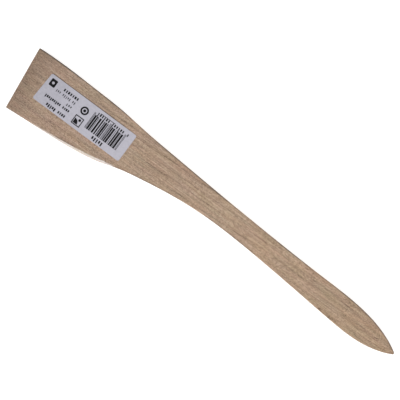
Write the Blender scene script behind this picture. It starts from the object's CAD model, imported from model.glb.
"""Looks of the wooden clay modelling tool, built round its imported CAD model.

The body is rebuilt as an even quad mesh that follows the CAD body's own outline and profile,
with sanded edges, a pared facet, small nicks and low spots. The label's layers and print stay
CAD nodes. All materials are node-based. They read object coordinates, the surface's direction
and painted-on weights only.
"""

import math

import bmesh
import bpy
import numpy as np
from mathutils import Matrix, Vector, noise


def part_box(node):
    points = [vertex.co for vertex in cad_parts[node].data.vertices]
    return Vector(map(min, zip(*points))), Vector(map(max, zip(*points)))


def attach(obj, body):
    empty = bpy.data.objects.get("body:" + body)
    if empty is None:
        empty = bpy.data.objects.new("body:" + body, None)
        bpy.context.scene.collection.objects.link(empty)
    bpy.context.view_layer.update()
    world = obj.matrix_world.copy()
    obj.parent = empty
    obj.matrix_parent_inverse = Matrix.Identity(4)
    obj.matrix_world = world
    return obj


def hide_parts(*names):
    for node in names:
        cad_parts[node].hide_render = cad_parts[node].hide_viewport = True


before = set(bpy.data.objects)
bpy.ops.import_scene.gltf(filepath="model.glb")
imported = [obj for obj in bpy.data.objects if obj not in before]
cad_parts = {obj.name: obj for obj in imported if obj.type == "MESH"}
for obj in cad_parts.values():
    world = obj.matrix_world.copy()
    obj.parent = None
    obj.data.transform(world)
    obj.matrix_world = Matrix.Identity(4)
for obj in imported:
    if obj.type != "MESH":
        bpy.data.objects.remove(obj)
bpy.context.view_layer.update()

MM = 0.001
X, Y, Z = range(3)
BODY_LOW, BODY_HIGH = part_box("wooden_body")
PADDLE_END, TIP_END, UPPER_FACE = BODY_LOW.x / MM, BODY_HIGH.x / MM, BODY_HIGH.z / MM

# ---- How the body is finished ------------------------------------------------------------
ARRIS_RADIUS = 0.8 * MM      # round along every edge of the two broad faces
FACET_RADIUS = 1.65 * MM     # the same at the widest part of the belly edge's pared facet
FACET_RISE = (16.0 * MM, 64.0 * MM)     # where the facet starts, and where it is widest
FACET_STEP = (76.5 * MM, 78.0 * MM)     # where a slip of the blade leaves half of it
FACET_FADE = (78.0 * MM, 87.0 * MM)     # where the rest runs out
FACET_FLATNESS = 0.8         # 0 is a round edge, and 1 is a flat cut
FACET_FRESH = 0.85           # how much of the facet's width shows fresh-cut wood
DIRT_INSET = 0.26 * MM       # where the middle of an edge's line of handling dirt lies
DIRT_WIDTH = 0.24 * MM       # how wide the line is before it fades
DIRT_FADE_OUT = 0.05 * MM    # how fast it fades towards the side
DIRT_FADE_IN = 0.18 * MM     # and how fast inwards
DIRT_EASE = 5.0              # mm over which one stretch of an edge passes to the next
SIDE_DIRT = 0.12             # handling dirt on the sides
UNDER_DIRT = 0.3             # how much of the upper edges' dirt the under edges have
END_RADIUS = 0.45 * MM       # smaller round at the square end and its corners
TIP_RADIUS = 0.35 * MM
LEAST_RADIUS = 0.3 * MM      # an edge's round where an end leaves no room for more
ARRIS_SHARE = 0.42           # the most of the width or height that one round takes
CROWN_SHARE = 0.2            # the most that a side stands out, as a share of the round
TIP_MERGE = 0.01 * MM        # points crowded closer than this at the tip become one
SIDE_CROWN = 0.08 * MM       # how far the sides stand out at mid height
HOLLOW = 0.05 * MM           # deepest low spot that the sanding left in a broad face
HOLLOW_SIZE = (38 * MM, 11 * MM)        # a low spot's size along and across the tool
NICK_DROP = 0.8              # how far down a nick goes, as a share of how far in
STATION_STEP = 0.75 * MM     # length of the mesh's faces along the tool
END_STEPS = 4                # faces round each end's edge
ARC_STEPS = 5                # faces across each rounded arris
FLAT_STEPS = 30              # faces across each broad face
SIDE_STEPS = 4               # faces down each side

# Nicks in the upper edges: (distance from the paddle end, side, depth, radius, dirt). The
# lengths are in mm. Side is -1 for the belly edge and 1 for the back edge.
NICKS = [
    (77.5, -1, 0.50, 1.7, 0.0),
    (105.8, -1, 0.30, 1.3, 0.2),
    (186.6, -1, 0.40, 1.4, 0.2),
    (244.1, -1, 0.75, 1.9, 0.65),
    (252.8, -1, 0.70, 1.7, 0.55),
    (31.0, 1, 0.25, 1.2, 0.2),
    (148.0, 1, 0.25, 1.4, 0.2),
]

# Short dark flaws in the upper face: (distance from the paddle end, distance from the body's
# centre line, length, width, degrees off the tool's axis), in mm.
FLAWS = [
    (77.0, -11.6, 3.0, 0.45, -35.0),
    (285.3, 0.4, 4.0, 0.5, 27.0),
    (282.4, -3.9, 2.6, 0.4, 10.0),
]

# Handling dirt on the two edges: the usual share, and the stretches that have another one as
# (from, to, share). The distances are in mm from the paddle end.
BELLY_DIRT = 0.15, [(30.0, 84.0, 0.45), (84.0, 128.0, 0.6), (150.0, 190.0, 0.7)]
BACK_DIRT = 1.0, [
    (-10.0, 38.0, 1.8),
    (60.0, 70.0, 1.6),
    (76.0, 102.0, 0.35),
    (156.0, 200.0, 0.4),
    (224.0, 250.0, 0.4),
]

# ---- The view ----------------------------------------------------------------------------
VIEW_TURN = math.radians(36.5)           # the tool runs this far below level, to the right
VIEW_AIM = (-9.12 * MM, 4.16 * MM)       # the point of the upper face in the picture's middle
VIEW_WIDTH = 256.8 * MM                  # width of the picture at the upper face
LENS, SENSOR = 135.0, 36.0               # in mm
COVE_FLAT, COVE_RISE = 2.0, 0.8          # the floor's flat radius and turned-up height, metres
COVE_SIDES, COVE_RINGS, COVE_STEPS = 64, 8, 12     # its faces round, outwards and up the turn
FLOOR_GAP = 0.05 * MM                    # keeps the floor clear of the underside
FLOOR_GLOW = 0.5                         # a little light of its own keeps the floor pale
WORLD_STRENGTH = 0.38                    # even light from all round


# ---- Reading the CAD body's shape --------------------------------------------------------
def mesh_arrays(node):
    """A CAD node's points and the point pairs of its edges."""
    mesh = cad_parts[node].data
    points = np.empty(3 * len(mesh.vertices))
    mesh.vertices.foreach_get("co", points)
    pairs = np.empty(2 * len(mesh.edges), dtype=np.int32)
    mesh.edges.foreach_get("vertices", pairs)
    return points.reshape(-1, 3), pairs.reshape(-1, 2)


def extents(points, pairs, along, across, stations):
    """Lowest and highest value on one axis where the edges cross each station on another."""
    start = points[pairs[:, 0]]
    step = points[pairs[:, 1]] - start
    crossing = np.abs(step[:, along]) > 1e-9         # the others lie within one station
    start, step = start[crossing], step[crossing]
    low, high = [], []
    for station in stations:
        share = (station - start[:, along]) / step[:, along]
        hit = (share >= 0) & (share <= 1)
        values = start[hit, across] + share[hit] * step[hit, across]
        low.append(values.min())
        high.append(values.max())
    return np.array(low), np.array(high)


def smoothed(values, reach=5):
    """A running average that leaves both ends alone."""
    weights = np.hanning(2 * reach + 3)[1:-1]
    result = values.copy()
    result[reach:-reach] = np.convolve(values, weights / weights.sum(), mode="valid")
    return result


def line_through(stations, values, fit=8):
    """A function through the values that runs on past both ends along parabolas."""
    values = smoothed(values)
    ends = []
    for span in (slice(0, fit), slice(-fit, None)):
        base = stations[span].mean()
        ends.append((base, np.polyfit(stations[span] - base, values[span], 2)))

    def at(x):
        before = np.polyval(ends[0][1], x - ends[0][0])
        after = np.polyval(ends[1][1], x - ends[1][0])
        inside = np.interp(x, stations, values)
        return np.where(x < stations[0], before, np.where(x > stations[-1], after, inside))

    return at


def body_lines():
    """The belly edge, back edge, bottom and top as functions of X, and the two end corners."""
    points, pairs = mesh_arrays("wooden_body")
    step = 1 * MM
    last = BODY_HIGH.x - 4 * MM                      # short of the rounded tip
    stations = np.arange(BODY_LOW.x + 7 * MM, last, step)      # clear of the slanted end
    belly, back = (line_through(stations, v) for v in extents(points, pairs, X, Y, stations))
    stations = np.arange(BODY_LOW.x + 1.6 * MM, last, step)    # clear of the end's round
    bottom, top = (line_through(stations, v) for v in extents(points, pairs, X, Z, stations))
    across = np.linspace(-15 * MM, 15 * MM, 31)      # clear of the end's two corners
    end_line = np.polyfit(across, extents(points, pairs, Y, X, across)[0], 1)

    # Each corner is where an edge meets the end's line. Stepping between the two closes in.
    corners = []
    for edge in (belly, back):
        x = BODY_LOW.x
        for _ in range(8):
            x = float(np.polyval(end_line, edge(x)))
        corners.append(x)
    return belly, back, bottom, top, corners


# ---- The wooden body ---------------------------------------------------------------------
def station_list(length):
    """(distance from the paddle end, inset) of each section: both ends are rounded over."""
    angles = [math.pi / 2 * k / END_STEPS for k in range(END_STEPS, -1, -1)]
    paddle = [(END_RADIUS * (1 - math.sin(a)), END_RADIUS * (1 - math.cos(a))) for a in angles]
    tip = [(length - TIP_RADIUS * (1 - math.sin(a)), TIP_RADIUS * (1 - math.cos(a)))
           for a in reversed(angles)]
    count = round((length - END_RADIUS - TIP_RADIUS) / STATION_STEP)
    middle = [(END_RADIUS + (length - END_RADIUS - TIP_RADIUS) * k / count, 0.0)
              for k in range(1, count)]
    return paddle + middle + tip


def eased(value, low, high):
    """0 below low, 1 above high, and a smooth step between them."""
    share = min(max((value - low) / (high - low), 0.0), 1.0)
    return share * share * (3 - 2 * share)


def facet_share(distance):
    """How much of the belly edge's pared facet is there, this far from the paddle end."""
    after_step = 1 - 0.5 * eased(distance, *FACET_STEP)
    return eased(distance, *FACET_RISE) * after_step * (1 - eased(distance, *FACET_FADE))


def dirt_share(distance, usual, stretches):
    """How dirty one edge is, this many mm from the paddle end."""
    share = usual
    for start, stop, level in stretches:
        entered = eased(distance, start - DIRT_EASE / 2, start + DIRT_EASE / 2)
        left = eased(distance, stop - DIRT_EASE / 2, stop + DIRT_EASE / 2)
        share += entered * (1 - left) * (level - usual)
    return share


def section(start, end, low, high, inset, facet):
    """One closed loop of (point, dirt, facet weight): over the top, down the back side, and
    back under to the belly side."""
    width = (end - start).length
    height = high - low - 2 * inset
    radius = min(
        max(ARRIS_RADIUS - inset, LEAST_RADIUS),
        ARRIS_SHARE * (width - 2 * inset),
        ARRIS_SHARE * height,
    )
    crown = min(SIDE_CROWN, CROWN_SHARE * radius)
    edge = inset + crown
    facet_radius = radius + facet * (FACET_RADIUS - ARRIS_RADIUS)
    distance = (start.x - BODY_LOW.x) / MM
    belly_dirt = dirt_share(distance, *BELLY_DIRT)
    back_dirt = dirt_share(distance, *BACK_DIRT)

    def arris(round_radius, flatness=0.0):
        """(distance in from the side, drop below the face) of each point over one edge."""
        places = []
        for k in range(ARC_STEPS + 1):
            angle, share = math.pi / 2 * k / ARC_STEPS, k / ARC_STEPS
            inwards = 1 - math.cos(angle) + flatness * (share - 1 + math.cos(angle))
            down = 1 - math.sin(angle) + flatness * (math.sin(angle) - share)
            places.append((edge + round_radius * inwards, round_radius * down))
        return places

    def row(belly_radius, flatness=0.0):
        """One broad face from the belly arris to the back arris: (distance, drop)."""
        span = width - 2 * edge - belly_radius - radius
        flat = [(edge + belly_radius + span * k / FLAT_STEPS, 0.0) for k in range(1, FLAT_STEPS)]
        back = [(width - along, drop) for along, drop in reversed(arris(radius))]
        return arris(belly_radius, flatness) + flat + back

    def soiled(along, pared=0.0):
        """Handling dirt on a broad face. By the facet it sits on the facet's inner border."""
        off_belly = along - pared * (edge + facet_radius) - DIRT_INSET
        off_back = width - along - DIRT_INSET
        share = 0.0
        for level, off in ((belly_dirt, off_belly), (back_dirt, off_back)):
            fade = DIRT_FADE_IN if off > 0 else DIRT_FADE_OUT
            share += level * math.exp(-max(abs(off) - DIRT_WIDTH / 2, 0) / fade)
        return share

    def point(along, z, dirt, facet_weight=0.0):
        spot = start.lerp(end, along / width)
        return Vector((spot.x, spot.y, z)), dirt, facet_weight

    def side(back):
        top_radius = radius if back else facet_radius
        places = []
        for k in range(1, SIDE_STEPS):
            share = k / SIDE_STEPS
            bulge = edge - crown * (1 - (2 * share - 1) ** 2)
            z = high - inset - top_radius - share * (height - top_radius - radius)
            places.append(point(width - bulge if back else bulge, z, SIDE_DIRT))
        return places

    over = [
        point(
            along,
            high - inset - drop,
            soiled(along, facet),
            facet * (along < edge + FACET_FRESH * facet_radius),
        )
        for along, drop in row(facet_radius, FACET_FLATNESS * facet)
    ]
    under = [point(along, low + inset + drop, UNDER_DIRT * soiled(along))
             for along, drop in reversed(row(radius))]
    return over + side(True) + under + list(reversed(side(False)))


def cap(mesh, loop, flip):
    """A grid of faces that closes one end, between the loop's upper and lower rows."""
    count = 2 * ARC_STEPS + FLAT_STEPS + 1
    upper, lower = loop[:count], list(reversed(loop[count + SIDE_STEPS - 1:][:count]))
    back_side = loop[count:count + SIDE_STEPS - 1]
    belly_side = list(reversed(loop[2 * count + SIDE_STEPS - 1:]))
    columns = []
    for i, (above, below) in enumerate(zip(upper, lower)):
        between = [mesh.verts.new(above.co.lerp(below.co, j / SIDE_STEPS))
                   for j in range(1, SIDE_STEPS) if 0 < i < count - 1]
        if i in (0, count - 1):
            between = belly_side if i == 0 else back_side
        columns.append([above, *between, below])
    for first, second in zip(columns, columns[1:]):
        for j in range(SIDE_STEPS):
            face = (first[j], second[j], second[j + 1], first[j + 1])
            mesh.faces.new(face if flip else tuple(reversed(face)))


def sanded(point):
    """How far a broad face is sanded low at a point. It only ever goes down into the wood."""
    spot = Vector((point.x / HOLLOW_SIZE[0], point.y / HOLLOW_SIZE[1], 0.0))
    return HOLLOW * min(max(0.5 + 0.8 * noise.noise(spot), 0.0), 1.0)


def nick(point, back_y, belly_y):
    """How far one point near an upper edge is pushed in and down, and the dirt held there."""
    push, held = Vector((0, 0, 0)), 0.0
    for distance, side, depth, radius, dirt in NICKS:
        edge_y = back_y if side > 0 else belly_y
        centre = Vector((BODY_LOW.x + distance * MM, edge_y, BODY_HIGH.z))
        near = 1 - ((point - centre).length / (radius * MM)) ** 2
        if near > 0:
            push += Vector((0, -side, -NICK_DROP)) * (depth * MM * near * near)
            held += dirt * near
    return push, held


def inside_box(point):
    """Holds a point within the CAD body's plan, where the paddle's corners run past it."""
    x = max(point.x, BODY_LOW.x)
    y = min(max(point.y, BODY_LOW.y), BODY_HIGH.y)
    return Vector((x, y, point.z))


def body_mesh():
    """The body's surface, with its dirt and its facet painted on as weights of the points."""
    belly, back, bottom, top, (belly_x, back_x) = body_lines()
    tip_x = BODY_HIGH.x
    length = tip_x - back_x
    made = bmesh.new()
    dirt_layer = made.verts.layers.float.new("dirt")
    facet_layer = made.verts.layers.float.new("facet")
    loops = []
    for distance, inset in station_list(length):
        share = distance / length
        start_x = belly_x + share * (tip_x - belly_x)
        end_x = back_x + share * (tip_x - back_x)
        start = Vector((start_x, float(belly(start_x)), 0))
        end = Vector((end_x, float(back(end_x)), 0))
        middle_x = (start_x + end_x) / 2
        low, high = float(bottom(middle_x)), float(top(middle_x))
        middle_z = (low + high) / 2
        loop = []
        facet = facet_share(start_x - BODY_LOW.x)
        for point, dirt, facet_weight in section(start, end, low, high, inset, facet):
            side = 1 if point.z > middle_z else -1
            point.z -= side * sanded(point) * max(1 - dirt, 0)
            push, held = nick(point, end.y, start.y)
            vertex = made.verts.new(inside_box(point + push))
            vertex[dirt_layer] = dirt + held
            vertex[facet_layer] = facet_weight
            loop.append(vertex)
        loops.append(loop)
    for first, second in zip(loops, loops[1:]):
        for i in range(len(first)):
            j = (i + 1) % len(first)
            made.faces.new((first[i], second[i], second[j], first[j]))
    cap(made, loops[0], True)
    cap(made, loops[-1], False)
    bmesh.ops.remove_doubles(made, verts=made.verts, dist=TIP_MERGE)
    bmesh.ops.recalc_face_normals(made, faces=made.faces)
    return made


def finished(made, name, material, *nodes, slot):
    """Turns mesh data into a piece that rides on the body and stands for CAD nodes."""
    for face in made.faces:
        face.smooth = True
    data = bpy.data.meshes.new(name)
    made.to_mesh(data)
    made.free()
    data.materials.append(material)
    piece = bpy.data.objects.new(name, data)
    bpy.context.scene.collection.objects.link(piece)
    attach(piece, "root")
    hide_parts(*nodes)


# ---- Materials ---------------------------------------------------------------------------
class Graph:
    """One node material, and short calls that add to it. Coordinates are in millimetres."""

    MIX_FIRST, MIX_SECOND, MIX_RESULT = 6, 7, 2      # a Mix node's colour sockets

    def __init__(self, name):
        self.material = bpy.data.materials.new(name)
        self.material.use_nodes = True
        self.tree = self.material.node_tree
        self.tree.nodes.clear()
        output = self.tree.nodes.new("ShaderNodeOutputMaterial")
        self.shader = self.tree.nodes.new("ShaderNodeBsdfPrincipled")
        self.tree.links.new(self.shader.outputs["BSDF"], output.inputs["Surface"])
        coordinates = self.tree.nodes.new("ShaderNodeTexCoord")
        self.normal = coordinates.outputs["Normal"]
        self.spot = self.vector("SCALE", coordinates.outputs["Object"], scale=1 / MM)

    def feed(self, socket, value):
        """Links another node's output to a socket, or sets the socket to a plain value."""
        if isinstance(value, bpy.types.NodeSocket):
            self.tree.links.new(value, socket)
        else:
            socket.default_value = value

    def vector(self, operation, first, second=None, scale=None):
        node = self.tree.nodes.new("ShaderNodeVectorMath")
        node.operation = operation
        self.feed(node.inputs[0], first)
        if second is not None:
            self.feed(node.inputs[1], second)
        if scale is not None:
            node.inputs["Scale"].default_value = scale
        return node.outputs["Vector"]

    def stretched(self, *lengths, offset=(0, 0, 0)):
        """Coordinates in which one unit is these lengths, in millimetres."""
        moved = self.vector("ADD", self.spot, offset)
        return self.vector("MULTIPLY", moved, tuple(1 / length for length in lengths))

    def split(self, vector):
        node = self.tree.nodes.new("ShaderNodeSeparateXYZ")
        self.feed(node.inputs[0], vector)
        return node.outputs

    def calc(self, operation, *values):
        """A math operation on one value or on two."""
        node = self.tree.nodes.new("ShaderNodeMath")
        node.operation = operation
        for socket, value in zip(node.inputs, values):
            self.feed(socket, value)
        return node.outputs[0]

    def add(self, first, *others):
        for value in others:
            first = self.calc("ADD", first, value)
        return first

    def times(self, first, *others):
        for value in others:
            first = self.calc("MULTIPLY", first, value)
        return first

    def noise(self, vector, detail=2.0, roughness=0.5, distortion=0.0):
        node = self.tree.nodes.new("ShaderNodeTexNoise")
        self.feed(node.inputs["Vector"], vector)
        node.inputs["Scale"].default_value = 1.0
        node.inputs["Detail"].default_value = detail
        node.inputs["Roughness"].default_value = roughness
        node.inputs["Distortion"].default_value = distortion
        return node.outputs["Fac"]

    def cells(self, vector):
        node = self.tree.nodes.new("ShaderNodeTexVoronoi")
        self.feed(node.inputs["Vector"], vector)
        node.inputs["Scale"].default_value = 1.0
        return node.outputs["Distance"]

    def span(self, value, low, high, to_low=0.0, to_high=1.0):
        """A value's stretch from low to high, eased to another stretch and held outside it."""
        node = self.tree.nodes.new("ShaderNodeMapRange")
        node.interpolation_type = "SMOOTHSTEP"
        self.feed(node.inputs["Value"], value)
        node.inputs["From Min"].default_value = low
        node.inputs["From Max"].default_value = high
        node.inputs["To Min"].default_value = to_low
        node.inputs["To Max"].default_value = to_high
        return node.outputs["Result"]

    def swing(self, value, amount):
        """A noise value turned into a swing of plus or minus half of an amount."""
        return self.times(self.calc("SUBTRACT", value, 0.5), amount)

    def colours(self, value, *stops):
        """A value turned into a colour, by stops of (value, colour)."""
        node = self.tree.nodes.new("ShaderNodeValToRGB")
        self.feed(node.inputs["Fac"], value)
        ramp = node.color_ramp
        while len(ramp.elements) < len(stops):
            ramp.elements.new(0.5)
        for element, (position, colour) in zip(ramp.elements, stops):
            element.position = position
            element.color = (*colour, 1)
        return node.outputs["Color"]

    def mix(self, factor, first, second, blend="MIX"):
        """Two colours mixed. Each is another node's output, or plain red, green and blue."""
        node = self.tree.nodes.new("ShaderNodeMix")
        node.data_type = "RGBA"
        node.blend_type = blend
        self.feed(node.inputs["Factor"], factor)
        for socket, colour in ((self.MIX_FIRST, first), (self.MIX_SECOND, second)):
            self.feed(node.inputs[socket], (*colour, 1) if isinstance(colour, tuple) else colour)
        return node.outputs[self.MIX_RESULT]

    def stroke(self, x, y, distance, off_centre, length, width, degrees):
        """1 on a short slanting mark and 0 away from it, placed from the paddle end."""
        away_x = self.calc("SUBTRACT", x, PADDLE_END + distance)
        away_y = self.calc("SUBTRACT", y, off_centre)
        along, across = math.cos(math.radians(degrees)), math.sin(math.radians(degrees))
        u = self.add(self.times(away_x, along / length * 2),
                     self.times(away_y, across / length * 2))
        v = self.add(self.times(away_x, -across / width * 2),
                     self.times(away_y, along / width * 2))
        squares = self.add(self.times(u, u), self.times(v, v))
        return self.span(squares, 0.3, 1.6, 1.0, 0.0)

    def attribute(self, name):
        node = self.tree.nodes.new("ShaderNodeAttribute")
        node.attribute_name = name
        return node.outputs["Fac"]

    def finish(self, colour, roughness, height=None, depth=0.0, specular=0.5):
        """Links the shader. The height is a value of about 0 to 1, and its depth is in mm."""
        self.feed(self.shader.inputs["Base Color"], colour)
        self.feed(self.shader.inputs["Roughness"], roughness)
        self.shader.inputs["Specular IOR Level"].default_value = specular
        if height is not None:
            bump = self.tree.nodes.new("ShaderNodeBump")
            bump.inputs["Distance"].default_value = depth * MM
            self.feed(bump.inputs["Height"], height)
            self.tree.links.new(bump.outputs["Normal"], self.shader.inputs["Normal"])
        return self.material


def growth_rings(g, x, y, z):
    """The late wood of each ring, and the dark line that closes it, as weights."""
    heart_y, heart_z, ring_gap = -51.3, -40.0, 4.1   # in mm
    drift = 0.055            # how far the heart runs across the tool for each mm along it
    bend = g.swing(g.noise(g.stretched(75, 15, 15)), 4.5)
    ripple = g.swing(g.noise(g.stretched(17, 4, 4)), 1.2)
    across = g.add(y, g.times(x, -drift), bend, ripple, -heart_y)
    up = g.add(z, g.times(bend, 0.4), -heart_z)
    squares = g.add(g.times(across, across), g.times(up, up))
    ring = g.calc("FRACT", g.calc("DIVIDE", g.calc("SQRT", squares), ring_gap))

    late = g.times(g.span(ring, 0.45, 0.93), g.span(ring, 0.94, 1.0, 1.0, 0.0))
    strength = g.span(g.noise(g.stretched(60, 9, 9, offset=(40, 0, 0))), 0.35, 0.7)
    late = g.times(late, strength)

    # The line shows in some places only, and most in the middle of the tool's length.
    line = g.times(g.span(ring, 0.82, 0.93), g.span(ring, 0.94, 0.99, 1.0, 0.0))
    plain = g.span(g.noise(g.stretched(110, 8, 8, offset=(0, 0, 20))), 0.38, 0.58)
    crisp = g.times(
        g.span(x, PADDLE_END + 40, PADDLE_END + 95, 0.2, 1.0),
        g.span(x, TIP_END - 115, TIP_END - 75, 1.0, 0.35),
    )
    return late, g.times(line, plain, crisp)


def caught_dust(g, x, y, z):
    """Dust caught against the label's upper edge, as a weight. It fades along the label."""
    low, high = (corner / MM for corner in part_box("label_paper"))
    off_edge = g.calc("ABSOLUTE", g.calc("SUBTRACT", y, high.y + 0.1))
    return g.times(
        g.span(off_edge, 0.2, 0.6, 1.0, 0.0),
        g.span(x, low.x, low.x + 3),
        g.span(x, high.x - 30, high.x, 1.0, 0.2),
        g.span(z, UPPER_FACE - 0.5, UPPER_FACE - 0.4),
    )


def beech():
    """Sanded beech, cut from a log whose heart runs along the tool, below the belly side.

    Its brightness is a tone of about 0 to 1. Each of the wood's features adds its share.
    """
    g = Graph("sanded_beech")
    x, y, z = g.split(g.spot)
    late, line = growth_rings(g, x, y, z)

    # Fibres: streaks of four widths, a fine grit, and the short dark flecks that mark beech.
    # The offsets in z keep the upper face off the finest noises' lattice planes, where a noise
    # is weak.
    slow = g.noise(g.stretched(60, 22, 22, offset=(15, 7, 0)))
    broad = g.noise(g.stretched(34, 2.6, 2.6), detail=3, distortion=0.4)
    streak = g.noise(g.stretched(20, 0.9, 0.9), detail=3, roughness=0.6, distortion=0.3)
    fine = g.noise(g.stretched(28, 0.56, 0.56), detail=2, distortion=0.2)
    thin = g.noise(g.stretched(20, 0.49, 0.49, offset=(7, 33, 0.1)), detail=1)
    grit = g.noise(g.stretched(0.8, 0.42, 0.42, offset=(0, 60, 0.35)), detail=2)
    flecks = g.span(g.cells(g.stretched(3.4, 0.62, 0.62)), 0.10, 0.30, 1.0, 0.0)
    crowd = g.span(g.noise(g.stretched(20, 5, 5, offset=(0, 30, 0))), 0.4, 0.65)
    flecks = g.times(flecks, crowd)

    # How clearly the fine fibres show: least at the handled paddle end, most past the waist.
    clear = g.times(
        g.span(x, PADDLE_END + 6, PADDLE_END + 34, 0.7, 1.0),
        g.span(x, TIP_END - 115, TIP_END - 95, 1.0, 1.2),
        g.span(x, TIP_END - 55, TIP_END - 20, 1.0, 0.95),
    )

    # Along the tool the wood is a little darker at both ends, and stained at the paddle's.
    along = g.add(
        g.span(x, PADDLE_END, TIP_END - 130, -0.09, 0.04),
        g.span(x, TIP_END - 120, TIP_END - 40, 0.0, -0.045),
    )
    end_stain = g.span(x, PADDLE_END, PADDLE_END + 24, 1.0, 0.0)
    end_grain = g.span(g.calc("ABSOLUTE", g.split(g.normal)[0]), 0.55, 0.85)
    flaws = g.add(*(g.stroke(x, y, *flaw) for flaw in FLAWS))
    dust = caught_dust(g, x, y, z)
    dirt = g.attribute("dirt")

    tone = g.add(
        0.5,
        along,
        g.swing(slow, 0.10),
        g.swing(broad, 0.06),
        g.swing(streak, 0.04),
        g.times(
            g.add(g.swing(grit, 1.7), g.swing(fine, 0.85), g.swing(thin, 0.3)),
            clear,
        ),
        g.times(late, -0.07),
        g.times(line, -0.21),
        g.times(flecks, clear, -0.11),
        g.times(flaws, -0.55),
        g.times(dust, -0.55),
        g.times(end_stain, -0.20),
        g.times(dirt, -1.0),
        g.times(end_grain, -0.28),
    )
    colour = g.colours(
        tone,
        (0.0, (0.17, 0.110, 0.070)),
        (0.5, (0.413, 0.286, 0.192)),
        (1.0, (0.62, 0.463, 0.333)),
    )
    colour = g.mix(g.span(dirt, 0.5, 1.5), colour, (0.06, 0.047, 0.036))
    fresh = g.colours(
        tone,
        (0.0, (0.42, 0.33, 0.25)),
        (0.5, (0.67, 0.59, 0.515)),
        (1.0, (0.80, 0.75, 0.70)),
    )
    colour = g.mix(g.span(g.attribute("facet"), 0.02, 0.3), colour, fresh)

    # Slight changes of hue, from slow to fine, and a warmer hue towards the leaf.
    pink = g.noise(g.stretched(24, 6, 6, offset=(0, 0, 50)), detail=2)
    pink = g.colours(pink, (0.3, (1.025, 0.99, 1.0)), (0.7, (0.98, 1.005, 1.0)))
    yellow = g.noise(g.stretched(16, 4, 4, offset=(0, 90, 0)), detail=2)
    yellow = g.colours(yellow, (0.3, (1.0, 1.0, 1.04)), (0.7, (1.0, 1.0, 0.96)))
    warm = g.noise(g.stretched(14, 1.3, 1.3, offset=(0, 0, 70.3)), detail=2)
    warm = g.colours(warm, (0.3, (1.022, 0.984, 0.99)), (0.7, (0.978, 1.016, 1.01)))
    aged = g.span(x, PADDLE_END, TIP_END - 60)
    aged = g.mix(aged, (0.98, 1.0, 1.06), (1.0, 0.995, 0.97))
    for tint in (pink, yellow, warm, aged):
        colour = g.mix(1.0, colour, tint, "MULTIPLY")

    roughness = g.add(0.6, g.swing(streak, 0.2), g.times(late, -0.08))
    height = g.add(
        g.times(streak, 0.6),
        g.times(fine, 0.5),
        g.times(flecks, -0.5),
        g.times(late, 0.3),
    )
    return g.finish(colour, roughness, height, depth=0.06, specular=0.35)


def label_stock():
    """Coated label paper: pale blue-grey and mottled, greyer at the handled paddle end."""
    g = Graph("label_stock")
    low, high = (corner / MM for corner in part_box("label_paper"))
    x = g.split(g.spot)[0]
    handled = g.span(x, low.x + 11, low.x + 19, -0.22, 0.0)
    clean = g.span(x, high.x - 20, high.x - 8, 0.0, 0.05)
    cloud = g.noise(g.stretched(9, 7, 7), detail=3)
    mottle = g.noise(g.stretched(1.7, 1.4, 1.4), detail=2)
    fibre = g.noise(g.stretched(0.5, 0.35, 0.35), detail=3, roughness=0.7)
    tone = g.add(
        0.49,
        handled,
        clean,
        g.swing(cloud, 0.15),
        g.swing(mottle, 0.7),
        g.swing(fibre, 0.25),
    )
    colour = g.colours(tone, (0.0, (0.385, 0.375, 0.425)), (1.0, (0.575, 0.56, 0.63)))
    roughness = g.add(0.5, g.swing(fibre, 0.15))
    return g.finish(colour, roughness, fibre, depth=0.01, specular=0.4)


def print_ink():
    """Thermal-transfer print: near black, thinner where the ribbon met the paper's lows."""
    g = Graph("print_ink")
    speckle = g.noise(g.stretched(0.16, 0.16, 0.16), detail=3, roughness=0.7)
    patch = g.noise(g.stretched(3, 2, 2), detail=2)
    tone = g.add(g.span(speckle, 0.55, 0.8), g.swing(patch, 0.3))
    colour = g.colours(tone, (0.0, (0.005, 0.005, 0.006)), (1.0, (0.05, 0.048, 0.055)))
    roughness = g.add(0.6, g.swing(speckle, 0.2))
    return g.finish(colour, roughness, speckle, depth=0.01, specular=0.12)


def dried_glue():
    """The glue film's edge: dull, slightly yellow, with dust held in it."""
    g = Graph("dried_glue")
    dust = g.noise(g.stretched(0.8, 0.8, 0.8), detail=4, roughness=0.7)
    colour = g.colours(dust, (0.35, (0.36, 0.30, 0.22)), (0.7, (0.52, 0.47, 0.38)))
    roughness = g.add(0.45, g.swing(dust, 0.3))
    return g.finish(colour, roughness, dust, depth=0.02, specular=0.4)


def paint_node(node, material):
    """Gives a carried-over CAD node its material."""
    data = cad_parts[node].data
    data.materials.clear()
    data.materials.append(material)


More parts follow.
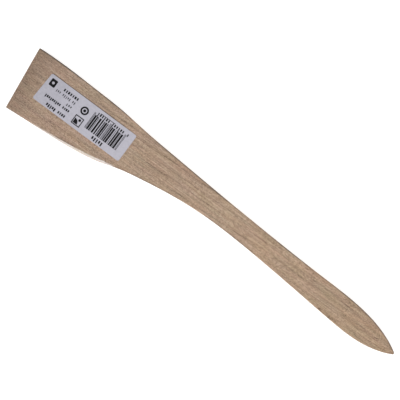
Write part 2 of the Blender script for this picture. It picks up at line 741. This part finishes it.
# ---- The floor, the light and the camera -------------------------------------------------
def floor():
    """A pale floor that turns up into a low round cove, far outside the tool."""
    rings = [(COVE_FLAT * k / COVE_RINGS, 0.0) for k in range(1, COVE_RINGS + 1)]
    angles = [math.pi / 2 * k / COVE_STEPS for k in range(1, COVE_STEPS + 1)]
    rings += [(COVE_FLAT + COVE_RISE * math.sin(a), COVE_RISE * (1 - math.cos(a)))
              for a in angles]
    made = bmesh.new()
    middle = made.verts.new((0, 0, 0))
    turns = [2 * math.pi * k / COVE_SIDES for k in range(COVE_SIDES)]
    loops = [[made.verts.new((r * math.cos(t), r * math.sin(t), z)) for t in turns]
             for r, z in rings]
    for k in range(COVE_SIDES):
        after = (k + 1) % COVE_SIDES
        made.faces.new((middle, loops[0][k], loops[0][after]))
        for inner, outer in zip(loops, loops[1:]):
            made.faces.new((inner[k], outer[k], outer[after], inner[after]))
    for face in made.faces:
        face.smooth = True
    data = bpy.data.meshes.new("floor")
    made.to_mesh(data)
    made.free()
    g = Graph("pale_floor")
    cloud = g.noise(g.stretched(300, 300, 300))
    colour = g.colours(cloud, (0.0, (0.93, 0.93, 0.93)), (1.0, (0.95, 0.95, 0.95)))
    g.shader.inputs["Emission Color"].default_value = (1, 1, 1, 1)
    g.shader.inputs["Emission Strength"].default_value = FLOOR_GLOW
    data.materials.append(g.finish(colour, 0.9, specular=0.1))
    piece = bpy.data.objects.new("floor", data)
    bpy.context.scene.collection.objects.link(piece)
    piece.location.z = BODY_LOW.z - FLOOR_GAP


def area_light(name, toward, distance, size, power):
    """A square soft box that faces the tool's middle from a direction."""
    data = bpy.data.lights.new(name, "AREA")
    data.shape = "SQUARE"
    data.size = size
    data.energy = power
    piece = bpy.data.objects.new(name, data)
    bpy.context.scene.collection.objects.link(piece)
    direction = Vector(toward).normalized()
    piece.location = direction * distance
    piece.rotation_euler = direction.to_track_quat("Z", "Y").to_euler()


def light():
    """Even light from all round, a key light from the belly side, and one from above."""
    world = bpy.data.worlds.new("studio")
    bpy.context.scene.world = world
    world.use_nodes = True
    background = world.node_tree.nodes["Background"]
    background.inputs["Color"].default_value = (1, 1, 1, 1)
    background.inputs["Strength"].default_value = WORLD_STRENGTH
    area_light("key", toward=(-0.25, -1.0, 0.95), distance=1.2, size=0.9, power=7.0)
    area_light("overhead", toward=(0.1, 0.1, 1.0), distance=1.6, size=1.2, power=7.6)


def camera():
    """A long lens straight above the tool, turned so that the tool lies aslant."""
    data = bpy.data.cameras.new("camera")
    data.lens, data.sensor_width = LENS, SENSOR
    piece = bpy.data.objects.new("camera", data)
    bpy.context.scene.collection.objects.link(piece)
    height = BODY_HIGH.z + VIEW_WIDTH * LENS / SENSOR
    piece.location = (*VIEW_AIM, height)
    piece.rotation_euler = (0, 0, VIEW_TURN)
    bpy.context.scene.camera = piece


def main():
    bpy.context.scene.view_settings.view_transform = "Standard"
    finished(body_mesh(), "beech_body", beech(), "wooden_body", slot="beech")
    paint_node("label_paper", label_stock())
    paint_node("label_adhesive", dried_glue())
    ink = print_ink()
    for node in ("label_bars", "label_small_print", "label_symbols"):
        paint_node(node, ink)
    floor()
    light()
    camera()


main()
